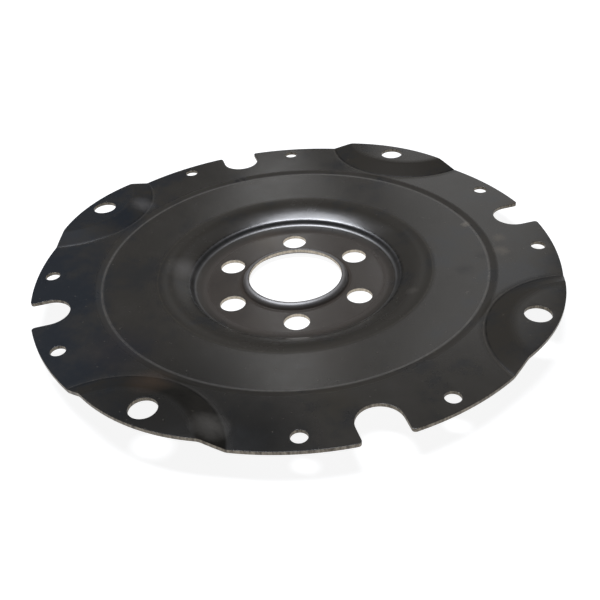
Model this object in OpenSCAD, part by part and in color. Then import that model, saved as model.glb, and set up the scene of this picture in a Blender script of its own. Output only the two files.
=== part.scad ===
// Flexplate: the pressed steel plate that carries the drive from a crankshaft to a torque converter.
// It is one sheet, drawn, pierced and trimmed: a sunk hub with a raised lip round its bore and a turned-up edge,
// a short step and a rounded dish up to a shallow conical web, and a flat rim with four raised pads.
// The underside of the hub, which bolts to the crankshaft, is z = 0, and +Z faces the converter.
// The pads lie on the X and Y axes, and the notches half way between them.

/* [Sheet] */
// Thickness of the steel sheet
sheet_t = 2; // [1.6:0.1:2.4]
// Diameter of the rim between the pads
rim_d = 290; // [260:1:320]
// Depth of the hub below the rim
hub_drop = 12.4; // [11.5:0.1:15]

/* [Hub] */
// Diameter of the centre bore
bore_d = 52.8; // [48:0.2:54]
// Height that the lip round the bore is raised above the hub
lip_rise = 3; // [2.4:0.1:3.6]
// Width of the lip's crest, from the bore to the corner where it turns down
lip_crest_w = 1.6; // [1.2:0.1:2.2]
// Slope of the lip's flank
lip_angle = 55; // [45:1:60]
// Radius of the two bends of the lip, at the middle of the sheet
lip_bend_r = 1.8; // [1.4:0.1:2.2]
// Diameter of the hub at the corner where its edge turns up
hub_d = 105.2; // [102:0.2:108]
// Slope of the hub's turned-up edge
edge_angle = 18; // [14:1:20]
// Width of the hub's edge, from the corner where it turns up to the foot of the step
edge_w = 6.1; // [5.6:0.1:7]
// Radius of the bend from the hub to its edge, at the middle of the sheet
edge_bend_r = 19; // [12:1:22]

/* [Step and dish] */
// Height of the step round the hub's edge
step_rise = 2.4; // [2.2:0.1:3]
// Slope of the step's wall
step_angle = 65; // [60:1:68]
// Radius of the bend at the step's foot, at the middle of the sheet
step_foot_r = 4.2; // [3:0.1:4.8]
// Radius of the bend at the step's top, at the middle of the sheet
step_top_r = 1.3; // [1.2:0.1:1.9]
// Slope of the dish where it leaves the step
dish_angle = 26.5; // [24:0.5:28]
// Width of the dish, from the step's top to its corner with the web
dish_w = 9; // [8.5:0.1:10.5]
// Radius of the bend that rounds the dish into the web, at the middle of the sheet
dish_bend_r = 41; // [25:1:46]

/* [Rim and crease] */
// Width of the rim, from its edge in to the web
rim_w = 37.7; // [36:0.1:42]
// Width of the crease round the inside of the rim
crease_w = 3.5; // [3:0.1:4.5]
// Height that the crease lifts the sheet from the web to the rim
crease_rise = 0.85; // [0.5:0.05:1.2]
// Radius of the two bends of the crease, at the middle of the sheet
crease_bend_r = 4; // [2:0.5:6]

/* [Pads] */
// Number of raised pads that the converter bolts to
pad_count = 4; // [3:1:4]
// Height of a pad above the rim
pad_rise = 4.6; // [3.5:0.1:5.5]
// Distance from the rim's edge out to the centre of a pad's arcs
pad_axis_out = 18.5; // [14:0.5:24]
// Gap between a pad's foot and the crease
pad_gap = 1.9; // [1.6:0.1:4]
// Width of a pad's flank, from its foot to its flat top
pad_flank_w = 11.5; // [8:0.1:14]
// Radius of the bend at a pad's top, at the middle of the sheet
pad_top_bend_r = 6; // [3:0.5:10]
// Radius of the bend at a pad's foot, at the middle of the sheet
pad_foot_bend_r = 3; // [1.5:0.5:5]
// How far the rim stands out at the middle of a pad
pad_proud = 2.1; // [0.5:0.1:3]
// Radius of the rim along a pad
pad_rim_r = 97; // [80:1:120]
// Distance from the rim's edge in to the circle through the converter holes
converter_inset = 8.5; // [7.5:0.1:12]
// Diameter of a converter hole
converter_hole_d = 13.6; // [10:0.1:15]

/* [Crankshaft holes] */
// Number of crankshaft holes
crank_hole_count = 6; // [4:1:6]
// Diameter of the circle through the crankshaft holes
crank_circle_d = 80.6; // [80:0.1:90]
// Diameter of a crankshaft hole
crank_hole_d = 14; // [10:0.1:14.5]
// Which hole is set out of step, so that the plate fits one way round only
odd_hole = 3; // [0:1:5]
// Angle that the odd hole is turned from its even place
odd_hole_turn = 5; // [0:0.5:8]

/* [Rim cuts] */
// Width of a notch
notch_w = 22.4; // [16:0.2:28]
// Depth of a notch from the rim
notch_depth = 21; // [16:0.2:24]
// Radius of the corners at a notch's mouth
notch_mouth_r = 2; // [1:0.1:4]
// Distance from the rim's edge in to the circle through the small rim holes
rim_hole_inset = 8.5; // [6:0.1:12]
// Diameter of a small rim hole
rim_hole_d = 8; // [5:0.1:10]
// Angle from the middle of a notch to the small hole on each side
rim_hole_turn = 15; // [12:0.5:18]

/* [Hidden] */
$fn = 180;

// Largest turn between two points of a bend's arc, in degrees
arc_step = 5;
// Distance that cutting shapes run past what they cut
past = 1;
// How far a pad's foot dips under the rim's face, so that the two faces cross
foot_dip = 0.02;
// Width of the ring of a pad's foot that lies under the rim's face
foot_skirt = 0.2;

half_t = sheet_t / 2;
bore_r = bore_d / 2;
hub_r = hub_d / 2;
rim_r = rim_d / 2;
crease_r = rim_r - rim_w;
notch_r = notch_w / 2;
notch_centre = rim_r - notch_depth + notch_r;
pad_rim_centre = rim_r + pad_proud - pad_rim_r;
pad_axis_r = rim_r + pad_axis_out;
pad_foot_r = pad_axis_r - crease_r - crease_w - pad_gap;
pad_top_r = pad_foot_r - pad_flank_w;

// Heights and corners at the middle of the sheet
hub_z = half_t;
lip_z = hub_z + lip_rise;
lip_corner_r = bore_r + lip_crest_w;
lip_foot_r = lip_corner_r + lip_rise / tan(lip_angle);
edge_r = hub_r + edge_w;
edge_z = hub_z + edge_w * tan(edge_angle);
step_z = edge_z + step_rise;
step_r = edge_r + step_rise / tan(step_angle);
dish_r = step_r + dish_w;
dish_z = step_z + dish_w * tan(dish_angle);
rim_z = hub_z + hub_drop;
pad_z = rim_z + pad_rise;
foot_z = rim_z - foot_dip;

// End of a pad's foot, past the bend that runs it out into the rim
pad_slope = atan2(pad_z - foot_z, pad_flank_w);
pad_end_r = pad_foot_r + pad_foot_bend_r * tan(pad_slope / 2) + foot_skirt;

// Room round the plate for the shapes that trim it
blank_r = rim_r + pad_proud + 2 * past;
top_z = pad_z + half_t + past;

// Path of the middle of the sheet from the centre out: corners as [radius, height, bend radius]
plate_path = [
    [0, lip_z, 0],
    [lip_corner_r, lip_z, lip_bend_r],
    [lip_foot_r, hub_z, lip_bend_r],
    [hub_r, hub_z, edge_bend_r],
    [edge_r, edge_z, step_foot_r],
    [step_r, step_z, step_top_r],
    [dish_r, dish_z, dish_bend_r],
    [crease_r, rim_z - crease_rise, crease_bend_r],
    [crease_r + crease_w, rim_z, crease_bend_r],
    [blank_r, rim_z, 0],
];

// Path of the middle of the sheet across a pad, from the centre of its arcs out
pad_path = [
    [0, pad_z, 0],
    [pad_top_r, pad_z, pad_top_bend_r],
    [pad_foot_r, foot_z, pad_foot_bend_r],
    [pad_end_r, foot_z, 0],
];

function point(corner) = [corner[0], corner[1]];
function direction(a, b) = (b - a) / norm(b - a);
function left_of(v) = [-v[1], v[0]];
function turned(v, angle) = v * cos(angle) + left_of(v) * sin(angle);

// Arc of one bend, moved by side to the left of the path
function bend(before, corner, after, radius, side) =
    let (
        way_in = direction(before, corner),
        way_out = direction(corner, after),
        angle = atan2(cross(way_in, way_out), way_in * way_out),
        hand = sign(angle),
        start = corner - way_in * radius * tan(abs(angle) / 2),
        to_centre = left_of(way_in) * hand,
        arc_r = radius - side * hand,
        steps = ceil(abs(angle) / arc_step)
    )
    [for (i = [0 : steps]) start + to_centre * radius - turned(to_centre, angle * i / steps) * arc_r];

// One face of the sheet: the path with its corners bent round, moved by side to the left
function face_of(path, side) =
    let (last = len(path) - 1)
    concat(
        [point(path[0]) + [0, side]],
        [for (i = [1 : last - 1])
            each bend(point(path[i - 1]), point(path[i]), point(path[i + 1]), path[i][2], side)],
        [point(path[last]) + [0, side]]
    );

// Everything under one face of a path turned about its axis, down to the height floor_z
module under_path(path, side, floor_z) {
    end_r = path[len(path) - 1][0];
    rotate_extrude()
        polygon(concat([[0, floor_z]], face_of(path, side), [[end_r, floor_z]]));
}

module at_pads() {
    for (i = [0 : pad_count - 1])
        rotate(i * 360 / pad_count)
            children();
}

module at_notches() {
    rotate(180 / pad_count)
        at_pads()
            children();
}

// Everything under one face of the whole sheet: the plate, and the pads that stand up from its rim
module under_face(side, floor_z) {
    under_path(plate_path, side, floor_z);
    at_pads()
        translate([pad_axis_r, 0, 0])
            under_path(pad_path, side, foot_z + side - past);
}

// Piece that rounds one corner of a notch's mouth
module mouth_corner() {
    arc_y = notch_r + notch_mouth_r;
    arc_x = sqrt(pow(rim_r - notch_mouth_r, 2) - pow(arc_y, 2));
    difference() {
        translate([arc_x, notch_r - past])
            square([rim_r + past - arc_x, past + notch_mouth_r]);
        translate([arc_x, arc_y])
            circle(r = notch_mouth_r);
    }
}

module notch() {
    translate([notch_centre, 0])
        circle(r = notch_r);
    translate([notch_centre, -notch_r])
        square([rim_r + past - notch_centre, notch_w]);
    for (flip = [0, 1])
        mirror([0, flip])
            mouth_corner();
}

// Trimmed outline: the round rim, its fuller arcs along the pads, and the notches
module outline() {
    difference() {
        union() {
            circle(r = rim_r);
            at_pads()
                translate([pad_rim_centre, 0])
                    circle(r = pad_rim_r);
        }
        at_notches()
            notch();
    }
}

module hole(place_r, hole_d) {
    translate([place_r, 0, -past])
        cylinder(d = hole_d, h = top_z + past);
}

module flexplate() {
    color("#3a3a3b")
        difference() {
            intersection() {
                difference() {
                    under_face(half_t, -past);
                    under_face(-half_t, -2 * past);
                }
                translate([0, 0, -past])
                    linear_extrude(top_z + past)
                        outline();
            }
            hole(0, bore_d);
            for (i = [0 : crank_hole_count - 1])
                rotate(i * 360 / crank_hole_count + (i == odd_hole ? odd_hole_turn : 0))
                    hole(crank_circle_d / 2, crank_hole_d);
            at_pads()
                hole(rim_r - converter_inset, converter_hole_d);
            at_notches()
                for (side = [-1, 1])
                    rotate(side * rim_hole_turn)
                        hole(rim_r - rim_hole_inset, rim_hole_d);
        }
}

flexplate();
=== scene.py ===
import math

import bmesh
import bpy
from mathutils import Matrix, Vector


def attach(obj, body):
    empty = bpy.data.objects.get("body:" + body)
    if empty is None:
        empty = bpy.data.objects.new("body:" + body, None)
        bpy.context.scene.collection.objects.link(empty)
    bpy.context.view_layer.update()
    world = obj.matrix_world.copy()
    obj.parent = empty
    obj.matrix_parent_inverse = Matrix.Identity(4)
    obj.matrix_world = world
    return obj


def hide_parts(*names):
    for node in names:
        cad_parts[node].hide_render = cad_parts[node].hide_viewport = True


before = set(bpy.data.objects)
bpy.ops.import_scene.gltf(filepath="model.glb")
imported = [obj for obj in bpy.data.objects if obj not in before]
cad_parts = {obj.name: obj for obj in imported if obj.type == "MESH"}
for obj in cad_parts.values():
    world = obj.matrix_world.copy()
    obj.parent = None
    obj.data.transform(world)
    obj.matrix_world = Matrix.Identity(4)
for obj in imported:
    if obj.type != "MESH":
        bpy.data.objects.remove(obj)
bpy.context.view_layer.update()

# Pressed sheet
# One disc of 2 mm steel, drawn in a press to a sunk hub with a lip round its bore, a step, a dish, a conical
# web and a flat rim with four raised pads, then pierced and trimmed. Bolts hold it by its holes, and nothing
# is fixed to it. Its sizes are in millimetres, and the finished mesh is scaled to metres.
mm = 0.001

# Sheet, and how deep the hub lies under the rim
half_sheet = 1.0
rim_r = 145.0
hub_drop = 12.4

# Lip round the bore
bore_r = 26.4
lip_crest = 1.6
lip_rise = 3.0
lip_slope = math.radians(55)
lip_bend_r = 1.8

# Hub with its turned-up edge, step and dish
hub_r = 52.6
edge_width = 6.1
edge_slope = math.radians(18)
edge_bend_r = 19
step_rise = 2.4
step_slope = math.radians(65)
step_foot_bend_r = 4.2
step_top_bend_r = 1.3
dish_width = 9.0
dish_slope = math.radians(26.5)
dish_bend_r = 41

# Rim and the crease along its inside
rim_width = 37.7
crease_width = 3.5
crease_rise = 0.85
crease_bend_r = 4

# Pads, each in arcs about an axis out past the rim, which is fuller along them. A pad's foot dips a little
# under the rim's face and runs on there, so that the two faces cross.
pad_count = 4
pad_rise = 4.6
pad_axis_out = 18.5
pad_gap = 1.9
pad_flank = 11.5
pad_top_bend_r = 6
pad_foot_bend_r = 3
pad_foot_dip = 0.02
pad_foot_skirt = 0.8
pad_rim_r = 97.0
pad_proud = 2.1

# Spare sheet inside the bore and past the rim, which the punch and the trimming die take away. A pad's flat
# top is wide enough to run past the rim too.
bore_spare = 5
rim_spare = 5
pad_top_width = 25

hub_z = half_sheet
lip_z = hub_z + lip_rise
lip_corner_r = bore_r + lip_crest
lip_foot_r = lip_corner_r + lip_rise / math.tan(lip_slope)
edge_r = hub_r + edge_width
edge_z = hub_z + edge_width * math.tan(edge_slope)
step_r = edge_r + step_rise / math.tan(step_slope)
step_z = edge_z + step_rise
dish_r = step_r + dish_width
dish_z = step_z + dish_width * math.tan(dish_slope)
rim_z = hub_z + hub_drop
crease_r = rim_r - rim_width
crease_end_r = crease_r + crease_width
crease_z = rim_z - crease_rise
pad_z = rim_z + pad_rise
pad_axis_r = rim_r + pad_axis_out
pad_foot_r = pad_axis_r - crease_end_r - pad_gap
pad_top_r = pad_foot_r - pad_flank
pad_foot_z = rim_z - pad_foot_dip
pad_end_r = pad_foot_r + pad_foot_skirt
pad_rim_centre = rim_r + pad_proud - pad_rim_r

# Path of the middle of the sheet, as corners with a radius, a height and a bend radius: from inside the bore
# to past the rim, and over a pad from past the rim to its foot, about the centre of the pad's arcs
plate_path = [
    (bore_r - bore_spare, lip_z, 0),
    (lip_corner_r, lip_z, lip_bend_r),
    (lip_foot_r, hub_z, lip_bend_r),
    (hub_r, hub_z, edge_bend_r),
    (edge_r, edge_z, step_foot_bend_r),
    (step_r, step_z, step_top_bend_r),
    (dish_r, dish_z, dish_bend_r),
    (crease_r, crease_z, crease_bend_r),
    (crease_end_r, rim_z, crease_bend_r),
    (rim_r + rim_spare, rim_z, 0),
]
pad_path = [
    (pad_top_r - pad_top_width, pad_z, 0),
    (pad_top_r, pad_z, pad_top_bend_r),
    (pad_foot_r, pad_foot_z, pad_foot_bend_r),
    (pad_end_r, pad_foot_z, 0),
]

# Steps round the plate and a pad and along their bends, the gap that is welded where a turned solid closes,
# and how far the solids under the faces run down past the sheet
plate_steps = 240
plate_bend_step = math.radians(5)
pad_steps = 72
pad_bend_step = math.radians(11)
seam_weld = 0.001
past = 1


def face_of(path, side, bend_step):
    """Points of one face of the bent sheet: the path with its corners rounded, moved by side off the path."""
    points = [Vector((path[0][0], path[0][1] + side))]
    for before, corner, after in zip(path, path[1:], path[2:]):
        here = Vector(corner[:2])
        bend_r = corner[2]
        way_in = (here - Vector(before[:2])).normalized()
        way_out = (Vector(after[:2]) - here).normalized()
        turn = math.atan2(way_in.cross(way_out), way_in.dot(way_out))
        hand = math.copysign(1, turn)
        to_centre = Vector((-way_in.y, way_in.x)) * hand
        centre = here - way_in * bend_r * math.tan(abs(turn) / 2) + to_centre * bend_r
        steps = math.ceil(abs(turn) / bend_step)
        for i in range(steps + 1):
            partly = Matrix.Rotation(turn * i / steps, 2)
            points.append(centre - partly @ to_centre * (bend_r - side * hand))
    points.append(Vector((path[-1][0], path[-1][1] + side)))
    return points


def turned(section, steps):
    """Closed solid: a section of radii and heights, from its lowest point up, turned about the Z axis."""
    bm = bmesh.new()
    corners = [bm.verts.new((r, 0, z)) for r, z in section]
    edges = [bm.edges.new(pair) for pair in zip(corners, corners[1:] + corners[:1])]
    bmesh.ops.spin(bm, geom=corners + edges, cent=(0, 0, 0), axis=(0, 0, 1), angle=math.tau, steps=steps,
                   use_merge=True)
    bmesh.ops.remove_doubles(bm, verts=bm.verts, dist=seam_weld)
    bmesh.ops.delete(bm, geom=[e for e in bm.edges if not e.link_faces], context="EDGES")
    bmesh.ops.recalc_face_normals(bm, faces=bm.faces)
    return bm


def repeat_round(bm, count):
    """Copies all of a mesh to even places round the Z axis."""
    bmesh.ops.spin(bm, geom=bm.verts[:] + bm.edges[:] + bm.faces[:], cent=(0, 0, 0), axis=(0, 0, 1),
                   angle=math.tau * (count - 1) / count, steps=count - 1, use_duplicate=True)


def as_object(bm, name):
    """Object in the scene with a finished mesh, which is used up."""
    mesh = bpy.data.meshes.new(name)
    bm.to_mesh(mesh)
    bm.free()
    made = bpy.data.objects.new(name, mesh)
    bpy.context.scene.collection.objects.link(made)
    return made


def combine(body, tool, operation):
    """Joins, cuts or trims a body by a tool, which is used up."""
    cut = body.modifiers.new("cut", "BOOLEAN")
    cut.object = tool
    cut.operation = operation
    cut.solver = "MANIFOLD"
    seen = body.evaluated_get(bpy.context.evaluated_depsgraph_get())
    result = bpy.data.meshes.new_from_object(seen)
    body.modifiers.clear()
    body.data = result
    bpy.data.objects.remove(tool)


def under_face(side, floor_z):
    """Everything under one face of the sheet: the plate, and the pads that stand up from its rim."""
    face = face_of(plate_path, side, plate_bend_step)
    plate = turned([(face[0].x, floor_z), *face, (face[-1].x, floor_z)], plate_steps)
    body = as_object(plate, "under_face")
    face = face_of(pad_path, side, pad_bend_step)
    foot = pad_foot_z + side - past
    pads = turned([(face[0].x, foot), *face, (face[-1].x, foot)], pad_steps)
    bmesh.ops.translate(pads, verts=pads.verts, vec=(pad_axis_r, 0, 0))
    repeat_round(pads, pad_count)
    combine(body, as_object(pads, "pads"), "UNION")
    return body


sheet = under_face(half_sheet, -past)
combine(sheet, under_face(-half_sheet, -2 * past), "DIFFERENCE")

# Trimmed outline: the round rim, fuller along the pads, with a round-bottomed notch half way between them.
# The only sharp turns are at the notches' mouths, and those are rounded.
notch_r = 11.2
notch_depth = 21
notch_centre = rim_r - notch_depth + notch_r
notch_mouth_r = 2.0
mouth_turn = math.asin(notch_r / rim_r)
quarter = math.tau / pad_count
rim_steps = 72
notch_steps = 36
mouth_steps = 6
touching = 0.01
sharp_radians = 1
cut_low = -5
cut_height = 30

outline = bmesh.new()
mouth = outline.verts.new((rim_r * math.cos(mouth_turn), -notch_r, 0))
side_foot = outline.verts.new((notch_centre, -notch_r, 0))
outline.edges.new((mouth, side_foot))
bottom = bmesh.ops.spin(outline, geom=[side_foot], cent=(notch_centre, 0, 0), axis=(0, 0, -1),
                        angle=math.pi, steps=notch_steps)
other_mouth = outline.verts.new((rim_r * math.cos(mouth_turn), notch_r, 0))
outline.edges.new((bottom["geom_last"][0], other_mouth))
bmesh.ops.spin(outline, geom=[other_mouth], cent=(0, 0, 0), axis=(0, 0, 1), angle=quarter - 2 * mouth_turn,
               steps=rim_steps)
bmesh.ops.rotate(outline, verts=outline.verts, cent=(0, 0, 0), matrix=Matrix.Rotation(quarter / 2, 3, "Z"))
repeat_round(outline, pad_count)
bmesh.ops.remove_doubles(outline, verts=outline.verts, dist=touching)
for vert in outline.verts:
    angle = math.atan2(vert.co.y, vert.co.x)
    off_pad = (angle + quarter / 2) % quarter - quarter / 2
    off_line = pad_rim_centre * math.sin(off_pad)
    fuller_r = pad_rim_centre * math.cos(off_pad) + math.sqrt(pad_rim_r ** 2 - off_line ** 2)
    if vert.co.length > rim_r - touching:
        vert.co *= max(rim_r, fuller_r) / vert.co.length
bmesh.ops.edgeloop_fill(outline, edges=outline.edges)
mouths = [vert for vert in outline.verts if vert.calc_edge_angle() > sharp_radians]
bmesh.ops.bevel(outline, geom=mouths, offset=notch_mouth_r, offset_type="OFFSET", affect="VERTICES",
                segments=mouth_steps, profile=0.5, material=-1)
bmesh.ops.translate(outline, verts=outline.verts, vec=(0, 0, cut_low))
raised = bmesh.ops.extrude_face_region(outline, geom=outline.faces[:])["geom"]
raised = [part for part in raised if isinstance(part, bmesh.types.BMVert)]
bmesh.ops.translate(outline, verts=raised, vec=(0, 0, cut_height))
bmesh.ops.recalc_face_normals(outline, faces=outline.faces)
combine(sheet, as_object(outline, "outline"), "INTERSECT")

# Pierced holes: the bore, six for the crankshaft with one out of step, one in each pad and two beside each
# notch. Each punch flares where it enters and leaves the sheet, as a pierced edge rolls over a little.
crank_circle_r = 40.3
crank_hole_r = 7.0
crank_turns = [0, 60, 120, 185, 240, 300]
outer_circle_r = rim_r - 8.5
pad_hole_r = 6.8
pad_turns = [0, 90, 180, 270]
rim_hole_r = 4.0
rim_hole_turns = [30, 60, 120, 150, 210, 240, 300, 330]
hole_steps = 72
rim_hole_steps = 48
edge_roll = 0.15
flare_past = 0.03
flare_angles = [math.radians(angle) for angle in (70, 35, 0)]


def pierce(circle_r, hole_r, middle_z, turns, steps):
    """Punches round holes through the sheet at a height, at some turns round a circle."""
    wall = half_sheet - edge_roll
    flare_r = hole_r + edge_roll
    lower = [(0, -cut_height / 2), (flare_r, -cut_height / 2), (flare_r, -half_sheet - flare_past)]
    for angle in flare_angles:
        lower.append((hole_r + edge_roll * (1 - math.cos(angle)), -wall - edge_roll * math.sin(angle)))
    upper = [(r, -z) for r, z in reversed(lower)]
    for turn in turns:
        to_place = Matrix.Rotation(math.radians(turn), 3, "Z")
        punch = turned(lower + upper, steps)
        bmesh.ops.translate(punch, verts=punch.verts, vec=(circle_r, 0, middle_z))
        bmesh.ops.rotate(punch, verts=punch.verts, cent=(0, 0, 0), matrix=to_place)
        combine(sheet, as_object(punch, "punch"), "DIFFERENCE")


pierce(0, bore_r, lip_z, [0], plate_steps)
pierce(crank_circle_r, crank_hole_r, hub_z, crank_turns, hole_steps)
pierce(outer_circle_r, pad_hole_r, pad_z, pad_turns, hole_steps)
pierce(outer_circle_r, rim_hole_r, rim_z, rim_hole_turns, rim_hole_steps)

# Trimmed edge: welded where the cuts left slivers, and rolled over along the outline as at the holes.
# The faces that stand almost upright are the walls that were sheared, and take the second material.
weld = 0.02
fine_weld = 0.004
edge_roll_steps = 2
wall_normal_z = 0.15

bm = bmesh.new()
bm.from_mesh(sheet.data)
bpy.data.objects.remove(sheet)
bmesh.ops.remove_doubles(bm, verts=bm.verts, dist=weld)
bmesh.ops.dissolve_degenerate(bm, edges=bm.edges, dist=weld)
bmesh.ops.triangulate(bm, faces=[f for f in bm.faces if len(f.verts) > 4])
bmesh.ops.recalc_face_normals(bm, faces=bm.faces)
for face in bm.faces:
    face.smooth = True
    face.material_index = 1 if abs(face.normal.z) < wall_normal_z else 0
trimmed = [e for e in bm.edges if e.calc_face_angle(0) > sharp_radians]
bmesh.ops.bevel(bm, geom=trimmed, offset=edge_roll, offset_type="OFFSET", affect="EDGES",
                segments=edge_roll_steps, profile=0.5, material=-1)
bmesh.ops.remove_doubles(bm, verts=bm.verts, dist=fine_weld)
bmesh.ops.dissolve_degenerate(bm, edges=bm.edges, dist=fine_weld)
bmesh.ops.scale(bm, verts=bm.verts, vec=(mm, mm, mm))
flexplate = as_object(bm, "pressed_sheet")
even = flexplate.modifiers.new("even_shading", "WEIGHTED_NORMAL")
even.keep_sharp = False

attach(flexplate, "root")
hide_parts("flexplate")


def linear(hex_colour):
    """Linear colour of an sRGB hex value."""
    channels = [int(hex_colour[i:i + 2], 16) / 255 for i in (1, 3, 5)]
    return [c / 12.92 if c <= 0.04045 else ((c + 0.055) / 1.055) ** 2.4 for c in channels] + [1.0]


def add(tree, kind, inputs, **settings):
    """Outputs of a new node with its settings, each input set to a value or linked to another's output.

    Inputs are keyed by name, or by place where names repeat: a MapRange reads the range 1 to 2 and gives the
    range 3 to 4, and a Mix has its share at 0 and its colours at 6 and 7.
    """
    made = tree.nodes.new("ShaderNode" + kind)
    for name, value in settings.items():
        setattr(made, name, value)
    for key, value in inputs.items():
        if isinstance(value, bpy.types.NodeSocket):
            tree.links.new(value, made.inputs[key])
        else:
            made.inputs[key].default_value = value
    return made.outputs


def new_material(name):
    """Material with an empty node tree."""
    material = bpy.data.materials.new(name)
    material.use_nodes = True
    material.node_tree.nodes.clear()
    return material


# Black oxide: the sheet was blackened in a hot bath, which leaves a thin dark skin over the steel. It is a
# satin black, mottled brown and blue-grey where the bath took unevenly, and brighter where the die rubbed it.
oxide = new_material("black_oxide_on_pressed_steel")
tree = oxide.node_tree
coords = add(tree, "TexCoord", {})["Object"]
level = add(tree, "VectorMath", {0: coords, 1: (1, 1, 0)}, operation="MULTIPLY")["Vector"]
radius = add(tree, "VectorMath", {0: level}, operation="LENGTH")["Value"]

# Noises: broad mottle, fine grain, and streaks that run outward as the sheet was drawn over the die.
# The real grain is about a third of this size, too fine to show, so it is drawn coarser to read as satin.
mottle_scale = 1 / (26 * mm)
grain_scale = 1 / (0.9 * mm)
streak_scale = 1 / (25 * mm)
streaks_round = (45, 45, 0)
mottle = add(tree, "TexNoise", {"Vector": coords, "Scale": mottle_scale, "Detail": 6, "Roughness": 0.66})[0]
grain = add(tree, "TexNoise", {"Vector": coords, "Scale": grain_scale, "Detail": 3, "Roughness": 0.6})[0]
outward = add(tree, "VectorMath", {0: level}, operation="NORMALIZE")["Vector"]
along = add(tree, "Math", {0: radius, 1: streak_scale}, operation="MULTIPLY")[0]
along = add(tree, "CombineXYZ", {2: along})[0]
drawn = add(tree, "VectorMath", {0: outward, 1: streaks_round, 2: along}, operation="MULTIPLY_ADD")["Vector"]
streaks = add(tree, "TexNoise", {"Vector": drawn, "Scale": 1.0, "Detail": 3, "Roughness": 0.6})[0]

# Tone: grey-brown and blue-grey in patches, a painted cool reflection that turns the rim blue-grey towards
# one side, and paler on the hub, partly a brown rubbed tone and partly a painted reflection
blue_grey_and_cool_reflection = linear("#2a2d31")
grey_brown = linear("#383530")
paler_hub_brown = linear("#4c453f")
# Painted cool reflection: the rim is tinted blue-grey towards one side, as if it mirrored a cool light
cool_reflection_side = (-0.852, -0.524, 0)
patches = add(tree, "MapRange", {0: mottle, 1: 0.36, 2: 0.64})[0]
towards = add(tree, "VectorMath", {0: coords, 1: cool_reflection_side}, operation="DOT_PRODUCT")["Value"]
towards_cool_reflection = add(tree, "MapRange", {0: towards, 1: 65 * mm, 2: 130 * mm})[0]
on_rim = add(tree, "MapRange", {0: radius, 1: 96 * mm, 2: 114 * mm})[0]
painted_cool_reflection = add(tree, "Math", {0: towards_cool_reflection, 1: on_rim}, operation="MULTIPLY")[0]
browner = add(tree, "MapRange", {0: painted_cool_reflection, 3: 0.6, 4: -0.5})[0]
brown = add(tree, "Math", {0: patches, 1: browner}, operation="ADD", use_clamp=True)[0]
tone = add(tree, "Mix", {0: brown, 6: blue_grey_and_cool_reflection, 7: grey_brown}, data_type="RGBA")[2]
# Paler hub: partly a brown rubbed tone and partly a painted reflection
paler_hub = add(tree, "MapRange", {0: radius, 1: 57 * mm, 2: 51 * mm, 4: 0.6})[0]
tone = add(tree, "Mix", {0: paler_hub, 6: tone, 7: paler_hub_brown}, data_type="RGBA")[2]

# Pads: how far each spot lies from the nearest pad's centre of arcs
sides = add(tree, "VectorMath", {0: coords}, operation="ABSOLUTE")["Vector"]
sides = add(tree, "SeparateXYZ", {0: sides})
far_side = add(tree, "Math", {0: sides[0], 1: sides[1]}, operation="MAXIMUM")[0]
near_side = add(tree, "Math", {0: sides[0], 1: sides[1]}, operation="MINIMUM")[0]
on_quarter = add(tree, "CombineXYZ", {0: far_side, 1: near_side})[0]
pad_axis = (pad_axis_r * mm, 0, 0)
pad_way = add(tree, "VectorMath", {0: on_quarter, 1: pad_axis}, operation="DISTANCE")["Value"]
on_pad = add(tree, "MapRange", {0: pad_way, 1: (pad_foot_r + 0.5) * mm, 2: (pad_foot_r - 1.5) * mm})[0]

# Lines along the bends, broken by the streaks: what the distance is taken from, the distance, half the width,
# tone and strength. The dark lines in the step's corner and in the pads' feet are painted shade, the light
# lines at the crease's inner edge and along the pads' top bends are painted highlights, and the rest are
# paler lines along the lip's crest, at the dish's end and just outside the pads' feet.
broken = add(tree, "MapRange", {0: streaks, 1: 0.38, 2: 0.6, 3: 0.2, 4: 1.0})[0]
for way, at, half, hex_tone, strength in [
    (radius, lip_corner_r - 0.2, 1.3, "#55514a", 0.6),
    # Painted shade in the step's corner
    (radius, edge_r + 0.4, 3.0, "#070707", 1.0),
    (radius, dish_r + 8.2, 0.6, "#5a544a", 0.3),
    # Painted highlight along the crease's inner edge
    (radius, crease_r - 0.4, 0.7, "#655f56", 0.6),
    # Painted shade in the crease at the pads' feet
    (pad_way, pad_foot_r - 0.5, 0.7, "#0d0d0e", 0.7),
    (pad_way, pad_foot_r + 0.7, 0.5, "#67625a", 0.35),
    # Painted highlight along the pads' top bends
    (pad_way, pad_top_r, 1.2, "#3a3733", 0.5),
]:
    off = add(tree, "Math", {0: way, 1: at * mm}, operation="SUBTRACT")[0]
    off = add(tree, "Math", {0: off}, operation="ABSOLUTE")[0]
    line = add(tree, "MapRange", {0: off, 1: half * mm, 2: 0, 4: strength},
               interpolation_type="SMOOTHSTEP")[0]
    line = add(tree, "Math", {0: line, 1: broken}, operation="MULTIPLY")[0]
    tone = add(tree, "Mix", {0: line, 6: tone, 7: linear(hex_tone)}, data_type="RGBA")[2]
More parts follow.
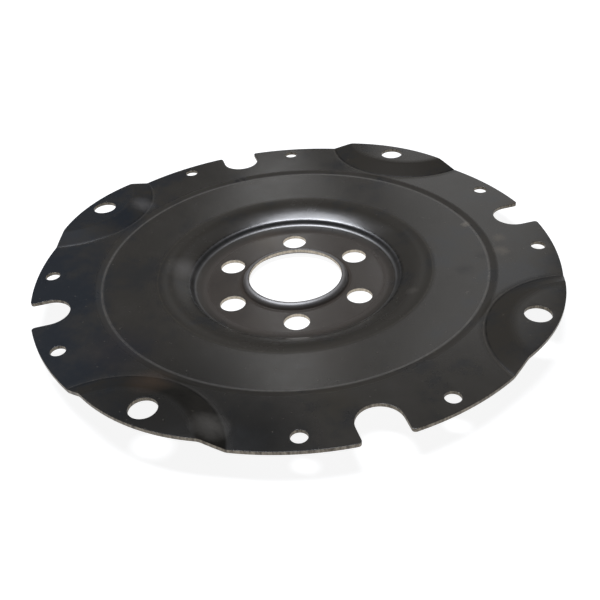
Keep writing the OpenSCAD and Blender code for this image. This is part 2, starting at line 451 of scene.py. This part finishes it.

# Scuffs and stains of handling, ragged at the edge, and three patches of painted light: place and size in
# millimetres, tone and strength. The two broad dark patches on the near rim are painted shade, and the pale
# patch on the left of the dish is a painted reflection.
ragged_scale = 1 / (5 * mm)
ragged_reach = (6 * mm, 6 * mm, 0)
stain_and_light_core = 0.2
noise_middle = (0.5, 0.5, 0.5)
sway = add(tree, "TexNoise", {"Vector": coords, "Scale": ragged_scale, "Detail": 4, "Roughness": 0.7})[1]
sway = add(tree, "VectorMath", {0: sway, 1: noise_middle}, operation="SUBTRACT")["Vector"]
ragged = add(tree, "VectorMath", {0: sway, 1: ragged_reach, 2: coords}, operation="MULTIPLY_ADD")["Vector"]
for x, y, z, size, hex_tone, strength in [
    # Painted shade: the near rim darkened by two broad dark patches
    (8, -133, 16, 60, "#131312", 1.2),
    (52, -128, 14.4, 32, "#0e0e0d", 1.4),
    (101.5, 55.1, 14.4, 5.5, "#6a6154", 0.75),
    (95.9, 67.7, 14.4, 5, "#6a6154", 0.6),
    (87.9, 31.6, 11.8, 7, "#121213", 0.8),
    (92.8, 47.1, 12.6, 5, "#121213", 0.8),
    (73.8, 76.1, 13, 3, "#8a8274", 0.8),
    (94.1, 109, 14.4, 6, "#4b3223", 0.8),
    (31.5, -131, 16, 10, "#6a6762", 1.0),
    (-9.9, -118.7, 16, 13, "#4a3d32", 1.1),
    (-120, 17.1, 16.5, 9, "#6f6d6c", 0.8),
    (-40.8, -104.3, 14.4, 24, "#26242c", 0.7),
    (72, -93.5, 14.4, 15, "#3a352a", 0.7),
    (54.6, -64.4, 11, 20, "#38312a", 0.6),
    (69.3, 4.7, 9.4, 4, "#5a564f", 0.7),
    (-18.7, -17.5, 3.5, 9, "#3f3226", 0.7),
    (-34.1, 29.7, 2, 15, "#4f463a", 0.9),
    (-34.9, 57.7, 9.5, 18, "#45423d", 0.6),
    # Painted reflection: a pale patch on the left of the dish
    (-58.6, -24.5, 10, 12, "#625f5c", 1.0),
]:
    off = add(tree, "VectorMath", {0: ragged, 1: (x * mm, y * mm, z * mm)}, operation="DISTANCE")["Value"]
    stain_and_painted_light = add(tree, "MapRange", {0: off, 1: size * mm, 2: size * mm * stain_and_light_core, 4: strength})[0]
    stain_and_painted_light = add(tree, "Math", {0: stain_and_painted_light, 1: mottle}, operation="MULTIPLY")[0]
    tone = add(tree, "Mix", {0: stain_and_painted_light, 6: tone, 7: linear(hex_tone)}, data_type="RGBA")[2]

# Specks of dust and of bare metal
speck_scale = 1 / (2.4 * mm)
speck_beige = linear("#6a655c")
specks = add(tree, "TexNoise", {"Vector": coords, "Scale": speck_scale, "Detail": 1})[0]
specks = add(tree, "MapRange", {0: specks, 1: 0.73, 2: 0.79, 4: 0.25})[0]
tone = add(tree, "Mix", {0: specks, 6: tone, 7: speck_beige}, data_type="RGBA")[2]

# Fine relief of the grain, which breaks up the reflections
relief_depth = 0.012 * mm
relief = add(tree, "Bump", {"Height": grain, "Distance": relief_depth, "Strength": 1.0})[0]

# Shine: the die burnished the lip, the fillet at the step's foot and the crease's inner line. The lip's foot,
# the hub's edge, the dish, the crease and the pads' flanks stayed duller. Each ring has what it is measured
# from, its inner and outer distance, its gain in index, which mirrors more, and its gain in roughness.
web_index = 1.75
pad_index = 1.6
smoothest = 0.15
roughest = 0.25
ring_full = 0.35
ring_end = 0.65
index = add(tree, "MapRange", {0: on_pad, 3: web_index, 4: pad_index})[0]
gloss = add(tree, "MapRange", {0: mottle, 1: 0.3, 2: 0.7, 3: smoothest, 4: roughest})[0]
for way, inner, outer, mirror, rough in [
    (radius, lip_corner_r - 1.2, lip_foot_r - 0.4, 1.1, 0.3),
    (radius, lip_foot_r - 0.4, lip_foot_r + 2.2, -0.55, 0.15),
    (radius, hub_r - 3, edge_r - 2, -0.35, 0.1),
    (radius, edge_r - 2, edge_r + 1.1, 0.95, 0.2),
    (radius, edge_r + 1.3, dish_r, -0.25, 0.04),
    (radius, dish_r, dish_r + 9, -0.5, 0.04),
    (radius, crease_r - 1.3, crease_r + 0.3, 0.3, 0.1),
    (radius, crease_r + 0.3, crease_end_r + 0.7, -0.45, 0.1),
    (pad_way, pad_top_r - 2, pad_foot_r + 1.5, -0.5, 0.15),
]:
    wide = (outer - inner) * mm
    off = add(tree, "Math", {0: way, 1: (inner + outer) / 2 * mm}, operation="SUBTRACT")[0]
    off = add(tree, "Math", {0: off}, operation="ABSOLUTE")[0]
    there = add(tree, "MapRange", {0: off, 1: wide * ring_end, 2: wide * ring_full})[0]
    index = add(tree, "Math", {0: there, 1: mirror, 2: index}, operation="MULTIPLY_ADD")[0]
    gloss = add(tree, "Math", {0: there, 1: rough, 2: gloss}, operation="MULTIPLY_ADD")[0]
skin = add(tree, "BsdfPrincipled", {"Base Color": tone, "Roughness": gloss, "IOR": index, "Normal": relief})
add(tree, "OutputMaterial", {"Surface": skin[0]})
flexplate.data.materials.append(oxide)

# Sheared steel: the walls that the punches and the trimming die left, blackened thinly over torn metal, so
# they are a dull grey-beige with fine upright tears. They are paler round the hub's holes and darker towards
# the
# rim, and that darkening is painted shade: the outer walls mirror the floor where the plate shades it.
tear_scale = 1 / (1.2 * mm)
tear_stretch = (1, 1, 0.2)
wall_shade_start = 60 * mm
wall_shade_full = 110 * mm
sheared = new_material("sheared_steel")
tree = sheared.node_tree
coords = add(tree, "TexCoord", {})["Object"]
stretched = add(tree, "VectorMath", {0: coords, 1: tear_stretch}, operation="MULTIPLY")["Vector"]
tears = add(tree, "TexNoise", {"Vector": stretched, "Scale": tear_scale, "Detail": 3, "Roughness": 0.6})[0]
torn = add(tree, "MapRange", {0: tears, 1: 0.35, 2: 0.65})[0]
# Painted shade: a lit tone round the hub's holes and a shaded tone towards the rim, blended by distance
lit_wall_tone = add(tree, "Mix", {0: torn, 6: linear("#9c9384"), 7: linear("#c4baaa")}, data_type="RGBA")[2]
shaded_wall_tone = add(tree, "Mix", {0: torn, 6: linear("#524d46"), 7: linear("#8a8378")}, data_type="RGBA")[2]
from_middle = add(tree, "VectorMath", {0: coords}, operation="LENGTH")["Value"]
painted_wall_shade = add(tree, "MapRange", {0: from_middle, 1: wall_shade_start, 2: wall_shade_full})[0]
tone = add(tree, "Mix", {0: painted_wall_shade, 6: lit_wall_tone, 7: shaded_wall_tone}, data_type="RGBA")[2]
skin = add(tree, "BsdfPrincipled", {"Base Color": tone, "Metallic": 1.0, "Roughness": 0.5})
add(tree, "OutputMaterial", {"Surface": skin[0]})
flexplate.data.materials.append(sheared)

# Floor
# A wide sheet of white paper that the plate lies on, hub down. It shows white to the eye and in the steel's
# reflections, and the plate's soft shadow stays on it. It lies a hair under the hub, so that no two faces
# share a plane.
floor_half = 4.0
floor_gap = 0.1 * mm
paper_glow = 0.9
paper_grey = (0.35, 0.35, 0.35, 1)
floor_bm = bmesh.new()
bmesh.ops.create_grid(floor_bm, x_segments=1, y_segments=1, size=floor_half)
bmesh.ops.translate(floor_bm, verts=floor_bm.verts, vec=(0, 0, -floor_gap))
floor = as_object(floor_bm, "floor")
paper = new_material("white_paper")
tree = paper.node_tree
ray = add(tree, "LightPath", {})
in_view = add(tree, "Math", {0: ray["Is Camera Ray"], 1: ray["Is Glossy Ray"]}, operation="MAXIMUM")[0]
in_view = add(tree, "Math", {0: in_view, 1: ray["Is Transmission Ray"]}, operation="MAXIMUM")[0]
glow = add(tree, "Math", {0: in_view, 1: paper_glow}, operation="MULTIPLY")[0]
matt = add(tree, "BsdfDiffuse", {"Color": paper_grey})[0]
white = add(tree, "Emission", {"Color": (1, 1, 1, 1), "Strength": glow})[0]
both = add(tree, "AddShader", {0: matt, 1: white})[0]
add(tree, "OutputMaterial", {"Surface": both})
floor.data.materials.append(paper)

# Studio light
# A dark room with one soft lamp hung high over the plate, and two white panels stood behind it, one narrow
# and one wide and dimmer. They give the bright arc in the dish and the paler bands on the web and the rim.
scene = bpy.context.scene
scene.view_settings.view_transform = "Standard"
room_strength = 0.05
room = bpy.data.worlds.new("room")
scene.world = room
room.use_nodes = True
room.node_tree.nodes["Background"].inputs["Color"].default_value = linear("#dfe6f2")
room.node_tree.nodes["Background"].inputs["Strength"].default_value = room_strength
view_turn = math.radians(31.572)


def lamp(name, turn, back, left, distance, width, height, radiance, colour):
    """A soft lamp that faces the plate: leant back and left from straight over it, then turned round it."""
    data = bpy.data.lights.new(name, "AREA")
    data.shape = "RECTANGLE"
    data.size = width
    data.size_y = height
    data.energy = radiance * math.pi * width * height
    data.color = linear(colour)[:3]
    made = bpy.data.objects.new(name, data)
    lean = Matrix.Rotation(-math.radians(back), 3, "X") @ Matrix.Rotation(-math.radians(left), 3, "Y")
    facing = Matrix.Rotation(view_turn + math.radians(turn), 3, "Z") @ lean
    made.matrix_world = Matrix.Translation(facing @ Vector((0, 0, distance))) @ facing.to_4x4()
    scene.collection.objects.link(made)


lamp("overhead_lamp", turn=-20, back=8, left=10.5, distance=1.62, width=1.05, height=0.45, radiance=17.0,
     colour="#f4f7ff")
lamp("left_panel", turn=0.9, back=58, left=0, distance=2.0, width=0.17, height=0.56, radiance=0.9,
     colour="#ffffff")
lamp("right_panel", turn=-16.6, back=62, left=0, distance=2.0, width=0.55, height=0.84, radiance=0.45,
     colour="#ffffff")

# Camera
# Looks down on the plate from the front right, a little rolled, as the photograph does. Its place and lens
# were fitted to the holes, the rim and the notches.
photo_size = 600
focal_pixels = 795.938
stand = Vector((0.19678, -0.32019, 0.25723))
tilt = 0.5755
aim_right = 0.00344
aim_up = -0.04808
roll = -0.07644

ahead = Vector((0, math.cos(tilt), -math.sin(tilt)))
right = Vector((1, 0, 0))
ahead = (ahead + aim_right * right + aim_up * right.cross(ahead)).normalized()
sideways = ahead.cross(Vector((0, 0, 1))).normalized()
upward = sideways.cross(ahead)
right = math.cos(roll) * sideways + math.sin(roll) * upward
up = math.cos(roll) * upward - math.sin(roll) * sideways
facing = Matrix((right, up, -ahead)).transposed()
camera_data = bpy.data.cameras.new("camera")
camera_data.lens = focal_pixels * camera_data.sensor_width / photo_size
camera = bpy.data.objects.new("camera", camera_data)
camera.matrix_world = Matrix.Translation(stand) @ (Matrix.Rotation(view_turn, 3, "Z") @ facing).to_4x4()
scene.collection.objects.link(camera)
scene.camera = camera
